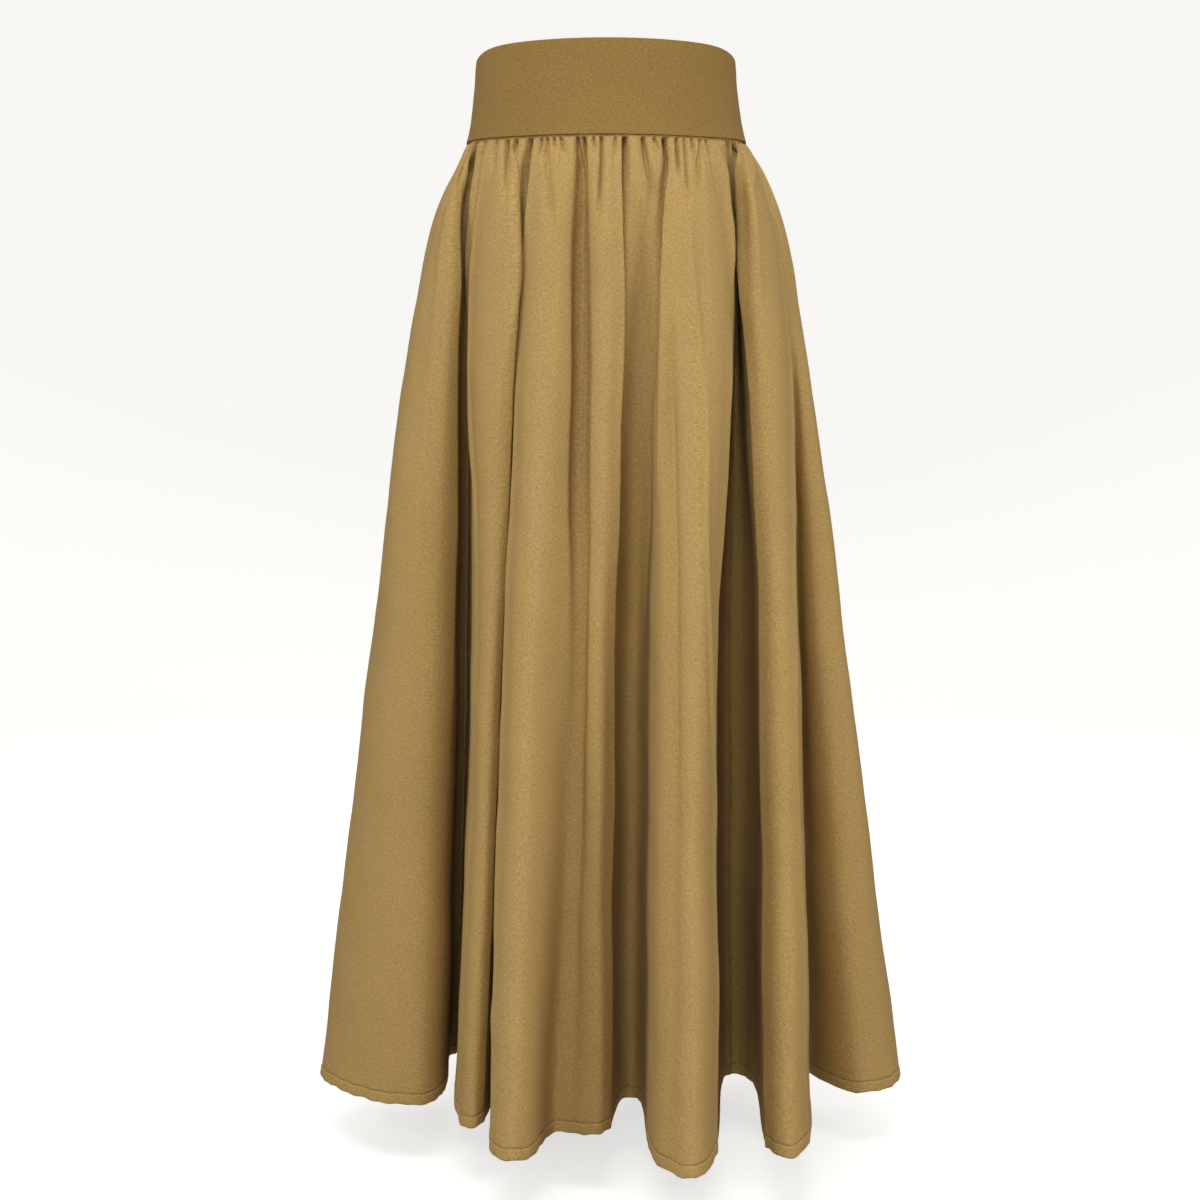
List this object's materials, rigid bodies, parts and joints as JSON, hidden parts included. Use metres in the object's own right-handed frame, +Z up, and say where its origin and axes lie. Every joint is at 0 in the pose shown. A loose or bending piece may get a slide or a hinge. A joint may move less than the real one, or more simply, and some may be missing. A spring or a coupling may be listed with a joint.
{
  "type": "maxi skirt",
  "caption": "Long full skirt as worn: tall smooth fitted waistband over a gathered skirt falling in deep soft folds to a wide hem, hollow and open at waist and hem.",
  "frame": {"origin": "middle of the waist opening on the waist line, 22 mm below the top edge of the waistband, where the garment is held", "axes": "+Z up along the body, from the hem to the waist; -Y is the front of the garment, +X the wearer's left"},
  "size_m": [0.578, 0.573, 0.997],
  "materials": {
    "skirt_cloth": "matt brushed crepe, soft nap",
    "band_cloth": "matt smooth double cloth, slightly darker"
  },
  "bodies": {
    "root": {"waistband_front": "band_cloth", "waistband_back": "band_cloth", "skirt_front": "skirt_cloth", "skirt_back_left": "skirt_cloth", "skirt_back_right": "skirt_cloth"}
  },
  "joints": []
}
